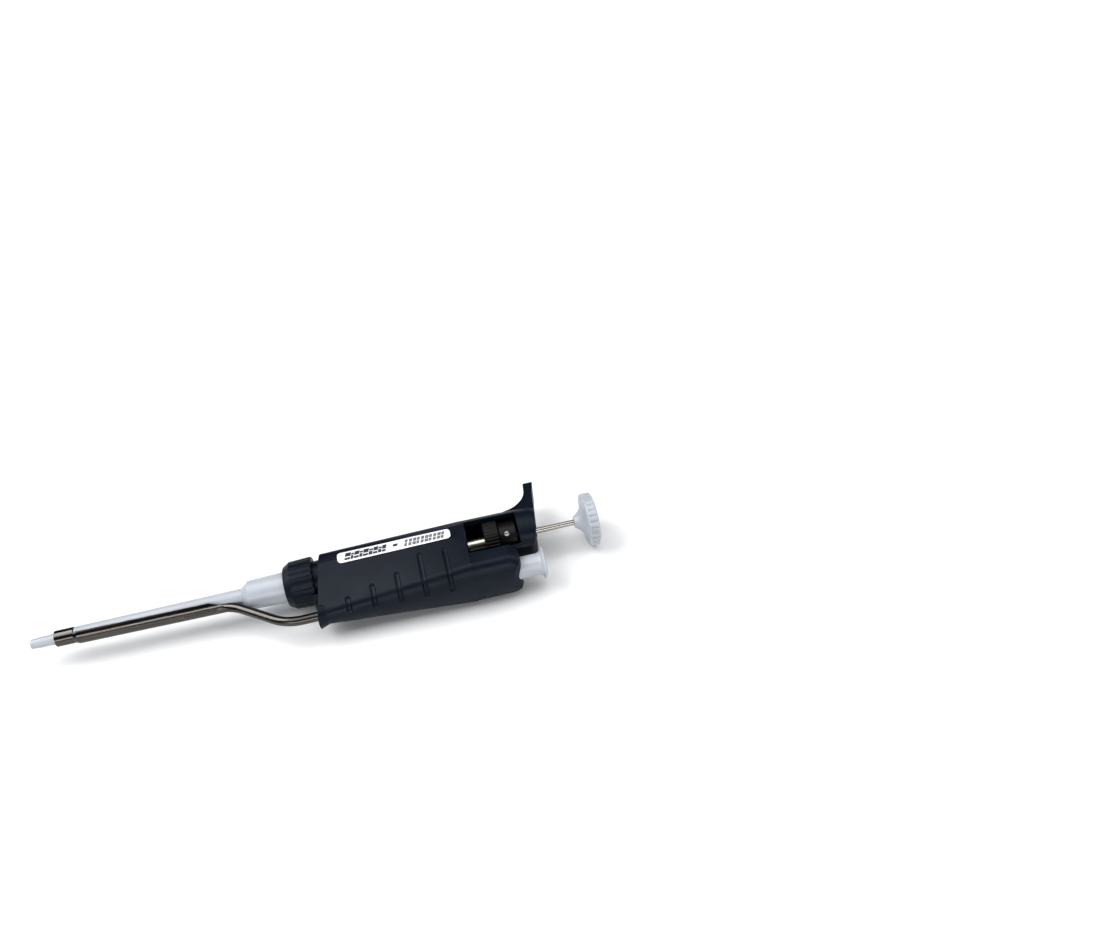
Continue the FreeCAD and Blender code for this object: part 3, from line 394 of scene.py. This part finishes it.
def ink(name, full, thin):
    """Printing ink, thinner in places."""
    material, tree, shader = new_material(name, full, 0.45)
    coverage = noise(tree, place(tree), 0.3 * MM, 3.0, 0.7)
    colour = mix(tree, remap(tree, coverage, (0.4, 0.75), (0.0, 1.0)), full, thin)
    gloss = spread(tree, coverage, 0.35, 0.55)
    connect(tree, shader, Base_Color=colour, Roughness=gloss, Normal=bump(tree, coverage, 0.002 * MM))
    return material


def paint_cad_nodes():
    """Gives every CAD node the material of its slot in the record, then gives the ejector arm and coupler a
    steel whose colour is painted dark for dark reflections.
    """
    makers = (
        dark_plastic, wheel_plastic, pale_plastic, stainless, nickel, spring_steel, brass,
        bush_plastic, drum_plastic, seal_plastic, rubber, clear_lens, label,
    )
    materials = {maker.__name__: maker() for maker in makers}
    for part in frame["record"]["subparts"]:
        mesh = frame["nodes"][part["node"]].data
        mesh.materials.clear()
        mesh.materials.append(materials[part["material_slot"]])
    # Painted shade: the arm and coupler take the steel whose colour is darkened to stand in for dark
    # reflections.
    painted_dark_steel = bronzed_steel()
    for node in ("ejector_arm", "ejector_coupler"):
        frame["nodes"][node].data.materials[0] = painted_dark_steel
    return materials


# ---- pieces -------------------------------------------------------------------------------------


def link_mesh(name, mesh, material):
    """A mesh as an object of the scene, in one material."""
    piece = bpy.data.objects.new(name, mesh)
    piece.data.materials.append(material)
    bpy.context.scene.collection.objects.link(piece)
    return piece


def helix_point(turn, turns, length, coil_r):
    """A point of a compression spring's centreline, with its end turns closed."""
    pitch_turns = turns - 2 * CLOSED_TURNS
    along = min(max(turn - CLOSED_TURNS, 0.0), pitch_turns) / pitch_turns
    angle = 2 * math.pi * turn
    return Vector((along * length, coil_r * math.cos(angle), coil_r * math.sin(angle)))


def wire_mesh(name, path, wire_r, start):
    """A closed tube of round wire along a helix, whose axis begins at the start."""
    last = len(path) - 1
    shape = bmesh.new()
    rings = []
    for index, point in enumerate(path):
        ahead = path[min(index + 1, last)] - path[max(index - 1, 0)]
        outward = Vector((0, point.y, point.z)).normalized()
        sideways = ahead.cross(outward).normalized()
        ring = []
        for side in range(WIRE_SIDES):
            turn = 2 * math.pi * side / WIRE_SIDES
            offset = (outward * math.cos(turn) + sideways * math.sin(turn)) * wire_r
            ring.append(shape.verts.new(start + point + offset))
        rings.append(ring)
    for ring, following in zip(rings, rings[1:]):
        for side in range(WIRE_SIDES):
            after = (side + 1) % WIRE_SIDES
            shape.faces.new((ring[side], ring[after], following[after], following[side]))
    shape.faces.new(list(reversed(rings[0])))
    shape.faces.new(rings[-1])
    bmesh.ops.recalc_face_normals(shape, faces=shape.faces)
    mesh = bpy.data.meshes.new(name)
    shape.to_mesh(mesh)
    shape.free()
    mesh.shade_smooth()
    return mesh


def spring(node, coil_r, wire_r, turns, material):
    """A wound spring in a CAD spring's place, fixed to the body."""
    low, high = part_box(node)
    centre = (low + high) / 2
    start = Vector((low.x + wire_r, centre.y, centre.z))
    length = high.x - low.x - 2 * wire_r
    count = turns * STEPS_PER_TURN
    path = [helix_point(turns * i / count, turns, length, coil_r) for i in range(count + 1)]
    name = node + "_wound"
    piece = link_mesh(name, wire_mesh(name, path, wire_r, start), material)
    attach(piece, BODY)
    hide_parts(node)
    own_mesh(piece)


def digit_mesh(digit):
    """A digit's flat mesh from the built-in font, centred on its own origin and one unit high."""
    text = bpy.data.curves.new("digit", "FONT")
    text.body = str(digit)
    text.align_x = "CENTER"
    text.align_y = "CENTER"
    text.resolution_u = 3
    holder = bpy.data.objects.new("digit", text)
    mesh = bpy.data.meshes.new_from_object(holder)
    bpy.data.objects.remove(holder)
    bpy.data.curves.remove(text)
    return mesh


def wrapped_digit(digit, heading, axis, radius):
    """A digit's mesh bent round a drum, with its middle at this heading from straight down."""
    flat = digit_mesh(digit)
    bent = bmesh.new()
    bent.from_mesh(flat)
    bpy.data.meshes.remove(flat)
    bmesh.ops.triangulate(bent, faces=bent.faces)
    bmesh.ops.subdivide_edges(bent, edges=bent.edges, cuts=1)
    for vertex in bent.verts:
        around = heading + vertex.co.x * DIGIT_WIDTH / radius
        vertex.co = Vector((
            axis.x + vertex.co.y * DIGIT_HEIGHT,
            axis.y + radius * math.sin(around),
            axis.z - radius * math.cos(around),
        ))
    wrapped = bpy.data.meshes.new("wrapped")
    bent.to_mesh(wrapped)
    bent.free()
    return wrapped


def drum_digits(node, body, first, material):
    """The ten digits printed round a counter drum, upright when the nozzle points down."""
    low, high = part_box(node)
    radius = (high.z - low.z) / 2 + DIGIT_LIFT
    shape = bmesh.new()
    for position in range(DIGITS):
        heading = 2 * math.pi * position / DIGITS
        wrapped = wrapped_digit((first + position) % DIGITS, heading, (low + high) / 2, radius)
        shape.from_mesh(wrapped)
        bpy.data.meshes.remove(wrapped)
    mesh = bpy.data.meshes.new(node + "_digits")
    shape.to_mesh(mesh)
    shape.free()
    piece = link_mesh(node + "_digits", mesh, material)
    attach(piece, body)


def print_bars(name, spans, rows, material):
    """Slanted generic bars printed on the label: a (start, width) pair for each, in every row."""
    low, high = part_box("label_plate")
    surface = BVHTree.FromObject(frame["nodes"]["label_plate"], bpy.context.evaluated_depsgraph_get())
    shape = bmesh.new()

    def on_label(x, y):
        hit = surface.ray_cast(Vector((x, y, high.z + 1)), Vector((0, 0, -1)))[0]
        return hit + Vector((0, 0, PRINT_LIFT))

    for start, width in spans:
        for bottom, top in rows:
            columns = []
            for step in range(BAR_STEPS + 1):
                y = low.y + (high.y - low.y) * (bottom + (top - bottom) * step / BAR_STEPS)
                lean = (y - low.y) * PRINT_SLANT
                edges = (low.x + start + lean, low.x + start + width + lean)
                columns.append([shape.verts.new(on_label(x, y)) for x in edges])
            for lower, upper in zip(columns, columns[1:]):
                shape.faces.new((lower[0], lower[1], upper[1], upper[0]))
    mesh = bpy.data.meshes.new(name)
    shape.to_mesh(mesh)
    shape.free()
    piece = link_mesh(name, mesh, material)
    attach(piece, BODY)


def label_print():
    """The label's bars in dark and grey ink. It returns the dark ink, which the drums share."""
    dark = ink("dark_ink", (0.012, 0.013, 0.018), (0.05, 0.053, 0.065))
    grey = ink("grey_ink", (0.10, 0.105, 0.12), (0.24, 0.25, 0.27))
    bold, start = [], BOLD_START
    for width in BOLD_WIDTHS:
        bold.append((start, width))
        start += width + BOLD_GAP
    print_bars("label_bars_tall", bold[::2], TALL_ROWS, dark)
    print_bars("label_bars_short", bold[1::2], SHORT_ROWS, dark)
    print_bars("label_dash_dark", [DASH], DASH_ROWS, dark)
    fine = [(FINE_START + FINE_PITCH * i, FINE_WIDTHS[i % len(FINE_WIDTHS)]) for i in range(FINE_COUNT)]
    print_bars("label_bars_grey", fine, FINE_ROWS, grey)
    return dark


# ---- stage ----------------------------------------------------------------------------------------


def floor():
    """A wide pale table top under the object."""
    size = FLOOR_HALF_SIDE
    mesh = bpy.data.meshes.new("floor")
    corners = [(-size, -size, 0), (size, -size, 0), (size, size, 0), (-size, size, 0)]
    mesh.from_pydata(corners, [], [(0, 1, 2, 3)])
    material, tree, shader = new_material("floor", FLOOR_TONES[0], 0.6)
    cloud = noise(tree, place(tree), 0.3, 2.0)
    connect(tree, shader, Base_Color=mix(tree, spread(tree, cloud), *FLOOR_TONES))
    link_mesh("floor", mesh, material)


def area_light(name, position, target, size, watts):
    """A white rectangular lamp that faces its target."""
    light = bpy.data.lights.new(name, "AREA")
    light.shape = "RECTANGLE"
    light.size, light.size_y = size
    light.energy = watts
    lamp = bpy.data.objects.new(name, light)
    lamp.location = position
    lamp.rotation_mode = "QUATERNION"
    lamp.rotation_quaternion = (target - position).to_track_quat("-Z", "Y")
    bpy.context.scene.collection.objects.link(lamp)


def lights():
    """Soft studio light: a box on each side, one overhead, a low strip in front and a dim room."""
    middle = (cad_box[0] + cad_box[1]) / 2
    for name, place_from_middle, size, watts in LIGHTS:
        area_light(name, middle + Vector(place_from_middle), middle, size, watts)
    world = bpy.data.worlds.new("studio")
    world.use_nodes = True
    tree = world.node_tree
    direction = add(tree, "ShaderNodeTexCoord").outputs["Generated"]
    height = add(tree, "ShaderNodeSeparateXYZ", {0: direction}).outputs["Z"]
    colour = mix(tree, remap(tree, height, (0.0, HORIZON_TOP), (0.0, 1.0)), HORIZON, SKY)
    tree.links.new(colour, tree.nodes["Background"].inputs["Color"])
    bpy.context.scene.world = world


def camera():
    """The camera, at the angle and distance given at the top."""
    lens = bpy.data.cameras.new("camera")
    lens.lens = LENS_MM
    lens.sensor_width = SENSOR_MM
    eye = bpy.data.objects.new("camera", lens)
    level = math.cos(CAMERA_ELEVATION)
    back = Vector((
        math.sin(CAMERA_AZIMUTH) * level,
        -math.cos(CAMERA_AZIMUTH) * level,
        math.sin(CAMERA_ELEVATION),
    ))
    axis = sum(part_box("tip_holder"), Vector()) / 2
    target = Vector((CAMERA_TARGET_X, axis.y + CAMERA_TARGET_FROM_AXIS_Y, axis.z))
    eye.location = target + back * CAMERA_DISTANCE
    eye.rotation_mode = "QUATERNION"
    eye.rotation_quaternion = (-back).to_track_quat("-Z", "Y") @ Quaternion((0, 0, 1), CAMERA_ROLL)
    bpy.context.scene.collection.objects.link(eye)
    bpy.context.scene.camera = eye


def main():
    materials = paint_cad_nodes()
    for node, coil_r, wire_r, turns, joint, travel in SPRINGS:
        spring(node, coil_r, wire_r, turns, materials["spring_steel"])
    dark = label_print()
    for node, body, first in DRUMS:
        drum_digits(node, body, first, dark)
    floor()
    lights()
    camera()
    bpy.context.scene.view_settings.view_transform = "Standard"
    bpy.context.scene.view_settings.look = "Medium High Contrast"


main()
